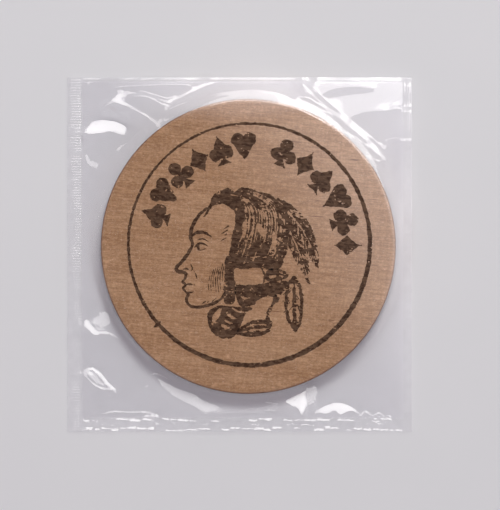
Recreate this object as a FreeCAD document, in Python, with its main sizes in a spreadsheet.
"""Dealer button: a printed wooden token, loose in a clear film pouch that is closed on all sides.

The frame has +Z up. Its origin is the middle of the pouch's footprint, on the surface it rests on.
The printed front of the token faces +Z, and the pouch's folded edge faces +Y. Millimetres.
"""

import FreeCAD, Part
import math
import os

import Sketcher
from FreeCAD import Placement, Rotation, Vector

DIMENSIONS = [
    ("pouch_width", 44.6, "pouch along X, outside"),
    ("pouch_height", 45.9, "pouch along Y, outside"),
    ("film_thick", 0.05, "clear film"),
    ("left_seal_width", 1.9, "ribbed end seal"),
    ("right_seal_width", 1.1, "cut end seal"),
    ("bottom_seal_width", 1.8, "long seal that closes the folded web"),
    ("fold_width", 0.5, "rounded fold of the web"),
    ("token_x", 1.15, "token axis from the pouch's middle"),
    ("token_y", 1.05, "token axis from the pouch's middle"),
    ("token_dia", 38.1, "wooden disc, one and a half inches"),
    ("token_thick", 3.2, "wooden disc, an eighth of an inch"),
    ("rim_round", 0.35, "broken edge of the disc"),
    ("film_gap", 0.1, "air between the disc and the film on each side"),
    ("dome_base_radius", 19.75, "where the draped front film meets the flat margin"),
    ("dome_flange", 0.2, "overlap of the dome and the flat margin"),
    ("ink_thick", 0.04, "printed ink"),
    ("print_shift", 0.2, "the print sits this far above the disc's centre"),
    ("print_turn", -9.0, "turn of the pip arc, in degrees"),
    ("ring_radius", 15.75, "border ring, outside"),
    ("ring_width", 0.5, "border ring"),
    ("pip_radius", 12.7, "circle that the suit pips stand on"),
    ("pip_height", 3.3, "suit pips"),
    ("pip_first", 12.0, "first pip from the middle of the arc, in degrees"),
    ("pip_step", 13.9, "from pip to pip, in degrees"),
]
PIPS_PER_SIDE = 6
SUIT_ORDER = ("spade", "heart", "club", "diamond")

# The portrait's printed areas, in mm from the token's axis. It shows a head in profile that faces -X.
HAIR = [
    (-4.9, 5.6), (-3.6, 7.3), (-0.9, 7.6), (2.7, 6.8), (4.6, 5.0), (4.9, 2.6), (4.4, -0.2),
    (3.4, -2.4), (0.8, -2.9), (-1.9, -2.7), (-2.3, -0.9), (-1.9, 1.2), (-1.7, 3.4), (-2.6, 5.2),
]
HAIR_TIE = [
    (-1.9, -4.9), (0.3, -5.0), (2.5, -4.9), (4.1, -4.6), (4.4, -5.2), (3.4, -5.9), (1.6, -6.4),
    (-0.4, -6.5), (-1.9, -6.3), (-2.1, -5.6),
]
BRAID = [
    (-2.8, -7.5), (-4.3, -8.4), (-5.2, -9.8), (-4.6, -11.2), (-3.0, -11.8), (-1.1, -11.2),
    (-0.8, -9.8), (0.0, -8.2), (-0.9, -7.2),
]
RIBBON = [(-0.2, -10.3), (1.2, -9.9), (2.8, -9.7), (3.0, -10.4), (2.4, -11.0), (0.9, -11.3), (-0.3, -11.2)]
FACE_PROFILE = [
    (-5.2, 5.2), (-6.8, 3.4), (-7.5, 1.4), (-7.4, 0.4), (-8.3, -1.2), (-9.4, -2.6), (-8.9, -3.2),
    (-8.1, -3.5), (-8.5, -4.4), (-8.1, -4.9), (-8.3, -5.5), (-7.8, -6.2), (-8.0, -7.3),
    (-7.1, -8.1), (-5.3, -7.7), (-3.6, -6.8),
]
FACE_LINE_HALF_WIDTH = 0.14
FEATHERS = {
    "upper_feather_print": ((5.1, 4.4), (9.0, -2.2), 0.75),
    "middle_feather_print": ((5.3, 1.2), (7.9, -4.6), 0.7),
    "lower_feather_print": ((5.0, -5.0), (6.1, -10.6), 0.95),
}


def make_sheet(doc):
    """The spreadsheet of driving dimensions, one alias a row."""
    sheet = doc.addObject("Spreadsheet::Sheet", "Dimensions")
    for row, (alias, value, meaning) in enumerate(DIMENSIONS, 1):
        sheet.set(f"A{row}", alias)
        sheet.set(f"B{row}", str(value))
        sheet.set(f"C{row}", meaning)
        sheet.setAlias(f"B{row}", alias)
    doc.recompute()
    return sheet


def new_body(doc, label, x="0", y="0", z="0"):
    """An empty body whose place is bound to the sheet by three expressions."""
    body = doc.addObject("PartDesign::Body", label)
    body.Label = label
    for axis, expression in (("x", x), ("y", y), ("z", z)):
        body.setExpression(f"Placement.Base.{axis}", expression)
    return body


def new_sketch(body, name, role="XY_Plane"):
    """A sketch on one of the body's own origin planes."""
    sketch = body.newObject("Sketcher::SketchObject", name)
    plane = next(f for f in body.Origin.OriginFeatures if f.Role == role)
    sketch.AttachmentSupport = [(plane, "")]
    sketch.MapMode = "FlatFace"
    return sketch


def bind(sketch, constraint, name, expression):
    """Adds a named dimension to a sketch and binds it to the sheet."""
    index = sketch.addConstraint(constraint)
    sketch.renameConstraint(index, name)
    sketch.setExpression(f"Constraints[{index}]", expression)


def place_point(sketch, geometry, point, name, x, y):
    """Fixes one point of a sketch by two expressions."""
    bind(sketch, Sketcher.Constraint("DistanceX", -1, 1, geometry, point, 1.0), f"{name}_x", x)
    bind(sketch, Sketcher.Constraint("DistanceY", -1, 1, geometry, point, 1.0), f"{name}_y", y)


def add_polygon(sketch, points):
    """A closed polygon whose corners are pairs of expressions."""
    count = len(points)
    first = sketch.GeometryCount
    for i in range(count):
        a = 2 * math.pi * i / count
        b = 2 * math.pi * (i + 1) / count
        start = Vector(math.cos(a), math.sin(a), 0)
        end = Vector(math.cos(b), math.sin(b), 0)
        sketch.addGeometry(Part.LineSegment(start, end), False)
    for i in range(count):
        after = first + (i + 1) % count
        sketch.addConstraint(Sketcher.Constraint("Coincident", first + i, 2, after, 1))
    for i, (x, y) in enumerate(points):
        place_point(sketch, first + i, 1, f"corner{i}", x, y)


def add_circle(sketch, name, radius, x="0", y="0"):
    """A circle bound to the sheet by its radius and centre."""
    geometry = sketch.addGeometry(Part.Circle(Vector(0, 0, 0), Vector(0, 0, 1), 1.0), False)
    bind(sketch, Sketcher.Constraint("Radius", geometry, 1.0), f"{name}_radius", radius)
    place_point(sketch, geometry, 3, name, x, y)


def add_pad(body, sketch, length):
    """Pads a sketch upwards by an expression."""
    pad = body.newObject("PartDesign::Pad", f"{body.Name}_pad")
    pad.Profile = sketch
    pad.setExpression("Length", length)
    return pad


def rectangle(left, right, low, high):
    """The four corners of a rectangle, as expressions."""
    return [(left, low), (right, low), (right, high), (left, high)]


D = "Dimensions."
LEFT = f"-{D}pouch_width / 2"
RIGHT = f"{D}pouch_width / 2"
LOW = f"-{D}pouch_height / 2"
HIGH = f"{D}pouch_height / 2"
INNER_LEFT = f"{LEFT} + {D}left_seal_width"
INNER_RIGHT = f"{RIGHT} - {D}right_seal_width"
INNER_LOW = f"{LOW} + {D}bottom_seal_width"
INNER_HIGH = f"{HIGH} - {D}fold_width"
TOKEN_BASE = f"{D}film_thick + {D}film_gap"
TOKEN_TOP = f"{TOKEN_BASE} + {D}token_thick"


def make_strip(doc, label, corners, thick):
    """A flat piece of the pouch, lying on the surface."""
    body = new_body(doc, label)
    sketch = new_sketch(body, f"{label}_outline")
    add_polygon(sketch, corners)
    add_pad(body, sketch, thick)
    return body


def make_flat_pouch_parts(doc):
    """The back panel and the two end seals and the long seal, which are both films welded."""
    welded = f"2 * {D}film_thick"
    return [
        make_strip(doc, "back_film", rectangle(INNER_LEFT, INNER_RIGHT, INNER_LOW, INNER_HIGH),
                   f"{D}film_thick"),
        make_strip(doc, "left_end_seal", rectangle(LEFT, INNER_LEFT, LOW, HIGH), welded),
        make_strip(doc, "right_end_seal", rectangle(INNER_RIGHT, RIGHT, LOW, HIGH), welded),
        make_strip(doc, "bottom_seal", rectangle(INNER_LEFT, INNER_RIGHT, LOW, INNER_LOW), welded),
    ]


def make_top_fold(doc):
    """The edge where the web turns over: two layers with a half-round outside."""
    body = new_body(doc, "top_fold", x=INNER_LEFT)
    sketch = new_sketch(body, "top_fold_section", "YZ_Plane")
    round_centre = f"{HIGH} - {D}film_thick"
    corners = [Vector(0, 0, 0), Vector(1, 0, 0), Vector(1, 1, 0), Vector(0, 1, 0)]
    sketch.addGeometry(Part.LineSegment(corners[0], corners[1]), False)
    sketch.addGeometry(
        Part.ArcOfCircle(Part.Circle(Vector(1, 0.5, 0), Vector(0, 0, 1), 0.5), -math.pi / 2, math.pi / 2),
        False,
    )
    sketch.addGeometry(Part.LineSegment(corners[2], corners[3]), False)
    sketch.addGeometry(Part.LineSegment(corners[3], corners[0]), False)
    for a, a_point, b, b_point in ((0, 2, 1, 1), (1, 2, 2, 1), (2, 2, 3, 1), (3, 2, 0, 1)):
        sketch.addConstraint(Sketcher.Constraint("Coincident", a, a_point, b, b_point))
    place_point(sketch, 0, 1, "inner_low", INNER_HIGH, "0")
    place_point(sketch, 2, 2, "inner_high", INNER_HIGH, f"2 * {D}film_thick")
    place_point(sketch, 1, 3, "round_centre", round_centre, f"{D}film_thick")
    bind(sketch, Sketcher.Constraint("Radius", 1, 0.5), "round_radius", f"{D}film_thick")
    bind(sketch, Sketcher.Constraint("DistanceX", -1, 1, 1, 1, 1.0), "round_start", round_centre)
    bind(sketch, Sketcher.Constraint("DistanceX", -1, 1, 1, 2, 1.0), "round_end", round_centre)
    add_pad(body, sketch, f"({INNER_RIGHT}) - ({INNER_LEFT})")
    return body


def make_front_film(doc):
    """The front panel: a flat margin, and a thin dome that drapes over the token's rim."""
    body = new_body(doc, "front_film", f"{D}token_x", f"{D}token_y", f"{D}film_thick")
    flange = f"{D}dome_base_radius + {D}dome_flange"
    margin = new_sketch(body, "margin_outline")
    add_polygon(
        margin,
        rectangle(
            f"{INNER_LEFT} - {D}token_x",
            f"{INNER_RIGHT} - {D}token_x",
            f"{INNER_LOW} - {D}token_y",
            f"{INNER_HIGH} - {D}token_y",
        ),
    )
    add_circle(margin, "dome_hole", f"{D}dome_base_radius + {D}dome_flange / 2")
    add_pad(body, margin, f"{D}film_thick")

    section = new_sketch(body, "dome_section", "XZ_Plane")
    under = f"{D}token_thick + 2 * {D}film_gap"
    over = f"{under} + {D}film_thick"
    rim = f"{D}token_dia / 2 + {D}film_gap"
    add_polygon(
        section,
        [
            ("0", under),
            (rim, under),
            (f"{D}dome_base_radius", "0"),
            (flange, "0"),
            (flange, f"{D}film_thick"),
            (f"{D}dome_base_radius + {D}film_thick", f"{D}film_thick"),
            (f"{rim} + {D}film_thick", over),
            ("0", over),
        ],
    )
    dome = body.newObject("PartDesign::Revolution", "front_film_dome")
    dome.Profile = section
    dome.ReferenceAxis = (section, ["V_Axis"])
    dome.Angle = 360.0
    return body


def make_wood_disc(doc):
    """The token: a solid hardwood disc with its two edges broken."""
    body = new_body(doc, "wood_disc", f"{D}token_x", f"{D}token_y", TOKEN_BASE)
    sketch = new_sketch(body, "disc_outline")
    add_circle(sketch, "disc", f"{D}token_dia / 2")
    pad = add_pad(body, sketch, f"{D}token_thick")
    doc.recompute()
    rounded = body.newObject("PartDesign::Fillet", "broken_edges")
    circles = [
        f"Edge{i}" for i, e in enumerate(pad.Shape.Edges, 1) if isinstance(e.Curve, Part.Circle)
    ]
    rounded.Base = (pad, circles)
    rounded.setExpression("Radius", f"{D}rim_round")
    return body


def make_border_ring(doc, label, z):
    """A printed ring close to the disc's rim."""
    body = new_body(doc, label, f"{D}token_x", f"{D}token_y + {D}print_shift", z)
    sketch = new_sketch(body, f"{label}_outline")
    add_circle(sketch, "outer", f"{D}ring_radius")
    add_circle(sketch, "inner", f"{D}ring_radius - {D}ring_width")
    add_pad(body, sketch, f"{D}ink_thick")
    return body


def ink_cylinder(doc, name, radius, x="0", y="0"):
    """A round blob of ink for a pip."""
    blob = doc.addObject("Part::Cylinder", name)
    blob.setExpression("Radius", radius)
    blob.setExpression("Height", f"{D}ink_thick")
    blob.setExpression("Placement.Base.x", x)
    blob.setExpression("Placement.Base.y", y)
    return blob


def ink_square(doc, name, side, y="0"):
    """A square of ink standing on its corner, with that corner at the given height."""
    square = doc.addObject("Part::Box", name)
    square.Placement = Placement(Vector(0, 0, 0), Rotation(Vector(0, 0, 1), 45))
    for prop, expression in (("Length", side), ("Width", side), ("Height", f"{D}ink_thick")):
        square.setExpression(prop, expression)
    square.setExpression("Placement.Base.y", y)
    return square


def ink_stem(doc, name, foot_y):
    """The flared stem under a spade or a club."""
    stem = doc.addObject("Part::Wedge", name)
    half_foot = f"{D}pip_height * 0.2"
    half_neck = f"{D}pip_height * 0.05"
    for prop, expression in (
        ("Xmin", f"-{half_foot}"), ("Xmax", half_foot), ("X2min", f"-{half_neck}"), ("X2max", half_neck),
        ("Ymin", "0"), ("Ymax", f"{D}pip_height * 0.55"), ("Zmin", "0"), ("Zmax", f"{D}ink_thick"),
        ("Z2min", "0"), ("Z2max", f"{D}ink_thick"), ("Placement.Base.y", foot_y),
    ):
        stem.setExpression(prop, expression)
    return stem


def fuse(doc, name, shapes):
    """One flat blob from several that overlap."""
    joined = doc.addObject("Part::MultiFuse", name)
    joined.Shapes = shapes
    joined.Refine = True
    return joined


def make_suits(doc):
    """One pip of each suit, centred on the origin with its top towards +Y."""
    high = f"{D}pip_height"
    lobe = f"{high} * 0.25"
    heart = fuse(doc, "heart_shape", [
        ink_square(doc, "heart_square", f"{high} * 0.5", f"-{high} * 0.5"),
        ink_cylinder(doc, "heart_left", lobe, f"-{high} * 0.177", f"{high} * 0.03"),
        ink_cylinder(doc, "heart_right", lobe, f"{high} * 0.177", f"{high} * 0.03"),
    ])
    spade = fuse(doc, "spade_shape", [
        ink_square(doc, "spade_square", f"{high} * 0.5", f"-{high} * 0.207"),
        ink_cylinder(doc, "spade_left", lobe, f"-{high} * 0.177", f"-{high} * 0.03"),
        ink_cylinder(doc, "spade_right", lobe, f"{high} * 0.177", f"-{high} * 0.03"),
        ink_stem(doc, "spade_stem", f"-{high} * 0.5"),
    ])
    club = fuse(doc, "club_shape", [
        ink_cylinder(doc, "club_top", lobe, "0", f"{high} * 0.25"),
        ink_cylinder(doc, "club_left", lobe, f"-{high} * 0.23", f"-{high} * 0.1"),
        ink_cylinder(doc, "club_right", lobe, f"{high} * 0.23", f"-{high} * 0.1"),
        ink_stem(doc, "club_stem", f"-{high} * 0.5"),
    ])
    diamond = ink_square(doc, "diamond_shape", f"{high} * 0.6", f"-{high} * 0.424")
    return {"spade": spade, "heart": heart, "club": club, "diamond": diamond}


def pip_angles(sheet):
    """Where the pips stand on their arc, in degrees clockwise from its middle, from left to right."""
    right = [sheet.pip_first + sheet.pip_step * i for i in range(PIPS_PER_SIDE)]
    return [-a for a in reversed(right)] + right


def token_point(sheet, z):
    """The middle of the print at the given height."""
    return Vector(sheet.token_x, sheet.token_y + sheet.print_shift, z)


def make_pips(doc, sheet, suits, top):
    """A group of equal pips for each suit, along the arc inside the border ring."""
    groups = {suit: [] for suit in SUIT_ORDER}
    for i, angle in enumerate(pip_angles(sheet)):
        suit = SUIT_ORDER[i % len(SUIT_ORDER)]
        turn = Rotation(Vector(0, 0, 1), sheet.print_turn - angle)
        place = Placement(token_point(sheet, top), turn)
        pip = suits[suit].Shape.copy()
        pip.Placement = place * Placement(Vector(0, sheet.pip_radius, 0), Rotation()) * pip.Placement
        groups[suit].append(pip)
    made = []
    for suit, pips in groups.items():
        feature = doc.addObject("Part::Feature", f"{suit}_pip_prints")
        feature.Label = f"{suit}_pip_prints"
        feature.Shape = Part.makeCompound(pips)
        made.append(feature)
    return made


def smooth_edge(points, closed=False):
    """A smooth curve through the given points."""
    curve = Part.BSplineCurve()
    curve.interpolate([Vector(x, y, 0) for x, y in points], PeriodicFlag=closed)
    return curve.toShape()


def line_outline(points, half_width):
    """The outline of a drawn line: its centre line, shifted to both sides and closed at the ends."""
    curve = smooth_edge(points)
    sides = []
    for side in (1, -1):
        shifted = []
        for x, y in points:
            at = Vector(x, y, 0)
            along = curve.tangentAt(curve.Curve.parameter(at))
            shifted.append((x - side * half_width * along.y, y + side * half_width * along.x))
        sides.append(shifted)
    left, right = sides
    ends = [
        Part.LineSegment(Vector(*left[i], 0), Vector(*right[i], 0)).toShape() for i in (0, -1)
    ]
    return [smooth_edge(left), ends[1], smooth_edge(right), ends[0]]


def leaf_outline(base, tip, half_width):
    """A feather's outline: two arcs from its base to its tip."""
    start = Vector(*base, 0)
    end = Vector(*tip, 0)
    across = Vector(0, 0, 1).cross(end - start).normalize() * half_width
    middle = (start + end) / 2
    return [Part.Arc(start, middle + side, end).toShape() for side in (across, -across)]


def make_portrait(doc, sheet, top):
    """The flat printed areas of the portrait."""
    outlines = {
        "hair_print": [smooth_edge(HAIR, closed=True)],
        "hair_tie_print": [smooth_edge(HAIR_TIE, closed=True)],
        "braid_print": [smooth_edge(BRAID, closed=True)],
        "ribbon_print": [smooth_edge(RIBBON, closed=True)],
        "face_print": line_outline(FACE_PROFILE, FACE_LINE_HALF_WIDTH),
    }
    for label, feather in FEATHERS.items():
        outlines[label] = leaf_outline(*feather)
    made = []
    for label, edges in outlines.items():
        face = Part.Face(Part.Wire(Part.__sortEdges__(edges)))
        feature = doc.addObject("Part::Feature", label)
        feature.Label = label
        feature.Shape = face.extrude(Vector(0, 0, sheet.ink_thick))
        feature.Placement = Placement(Vector(sheet.token_x, sheet.token_y, top), Rotation())
        made.append(feature)
    return made


def check(doc, subparts):
    """Stops on a failed feature, or on a sub-part that isn't a valid closed solid."""
    failed = [o.Name for o in doc.Objects if {"Invalid", "Error"} & set(o.State)]
    if failed:
        raise RuntimeError(f"failed features: {failed}")
    for part in subparts:
        shape = part.Shape
        if shape.isNull() or not shape.isValid() or not shape.Solids:
            raise RuntimeError(f"{part.Label} isn't a valid solid")
        if any(not s.isClosed() or s.Volume <= 0 for s in shape.Solids):
            raise RuntimeError(f"{part.Label} holds an open or empty solid")


def export(subparts):
    """Writes each sub-part's solids to a file named after it."""
    os.makedirs("parts", exist_ok=True)
    for part in subparts:
        part.Shape.exportStep(f"parts/{part.Label}.step")
        print(f"{part.Label}: {len(part.Shape.Solids)} solid(s), {part.Shape.Volume:.3f} mm3")


def main():
    doc = FreeCAD.newDocument("DealerButton")
    sheet = make_sheet(doc)
    pouch = make_flat_pouch_parts(doc) + [make_top_fold(doc), make_front_film(doc)]
    token = [
        make_wood_disc(doc),
        make_border_ring(doc, "front_ring_print", TOKEN_TOP),
        make_border_ring(doc, "back_ring_print", f"{TOKEN_BASE} - {D}ink_thick"),
    ]
    suits = make_suits(doc)
    doc.recompute()
    top = sheet.film_thick + sheet.film_gap + sheet.token_thick
    token += make_pips(doc, sheet, suits, top)
    token += make_portrait(doc, sheet, top)
    doc.recompute()
    check(doc, pouch + token)
    export(pouch + token)


main()
